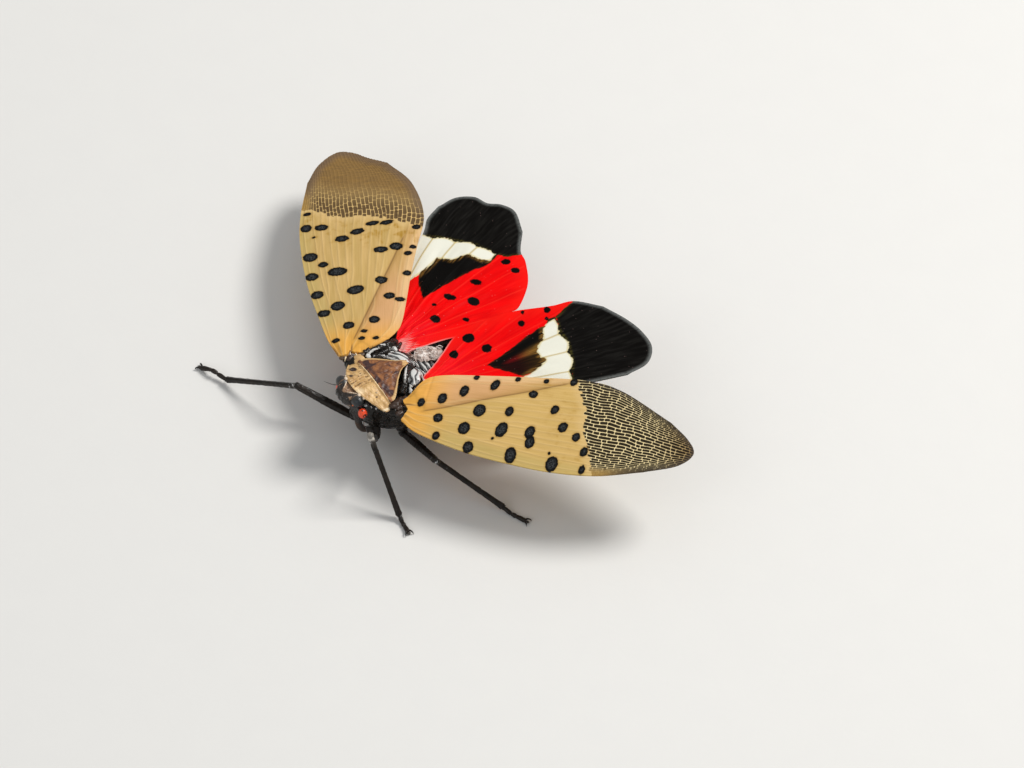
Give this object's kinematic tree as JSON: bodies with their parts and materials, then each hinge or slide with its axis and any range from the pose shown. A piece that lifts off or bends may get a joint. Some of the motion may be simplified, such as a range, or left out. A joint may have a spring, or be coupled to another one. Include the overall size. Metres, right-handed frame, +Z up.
{
  "type": "spotted lanternfly",
  "caption": "Life-size still model of an adult spotted lanternfly standing with its spotted forewings and banded hindwings spread",
  "frame": {"origin": "middle of the base, on the floor plane under the six feet", "axes": "-Y the way the head faces, +X the insect's own left, +Z up"},
  "size_m": [0.0438, 0.0288, 0.0077],
  "materials": {
    "tan_shell": "pitted tan shell, satin",
    "chestnut_shell": "wrinkled chestnut shell, soft gloss",
    "dark_shell": "black shell with waxy white bloom",
    "abdomen": "yellow rings with black bands",
    "eye": "dark slate, faceted gloss",
    "antenna": "orange-red, grained",
    "forewing": "leathery straw membrane with dark spots",
    "hindwing": "red membrane with white band and black tip",
    "leg": "black-brown with grey bloom"
  },
  "bodies": {
    "root": {"head": "tan_shell", "eye_left": "eye", "eye_right": "eye", "antenna_left": "antenna", "antenna_right": "antenna", "rostrum": "dark_shell", "pronotum": "tan_shell", "mesonotum": "chestnut_shell", "thorax": "dark_shell", "abdomen": "abdomen", "forewing_left": "forewing", "forewing_right": "forewing", "hindwing_left": "hindwing", "hindwing_right": "hindwing", "leg_fore_left_femur": "leg", "leg_fore_left_tibia": "leg", "leg_fore_left_tarsus": "leg", "leg_fore_right_femur": "leg", "leg_fore_right_tibia": "leg", "leg_fore_right_tarsus": "leg", "leg_mid_left_femur": "leg", "leg_mid_left_tibia": "leg", "leg_mid_left_tarsus": "leg", "leg_mid_right_femur": "leg", "leg_mid_right_tibia": "leg", "leg_mid_right_tarsus": "leg", "leg_hind_left_femur": "leg", "leg_hind_left_tibia": "leg", "leg_hind_left_tarsus": "leg", "leg_hind_right_femur": "leg", "leg_hind_right_tibia": "leg", "leg_hind_right_tarsus": "leg"}
  },
  "joints": []
}
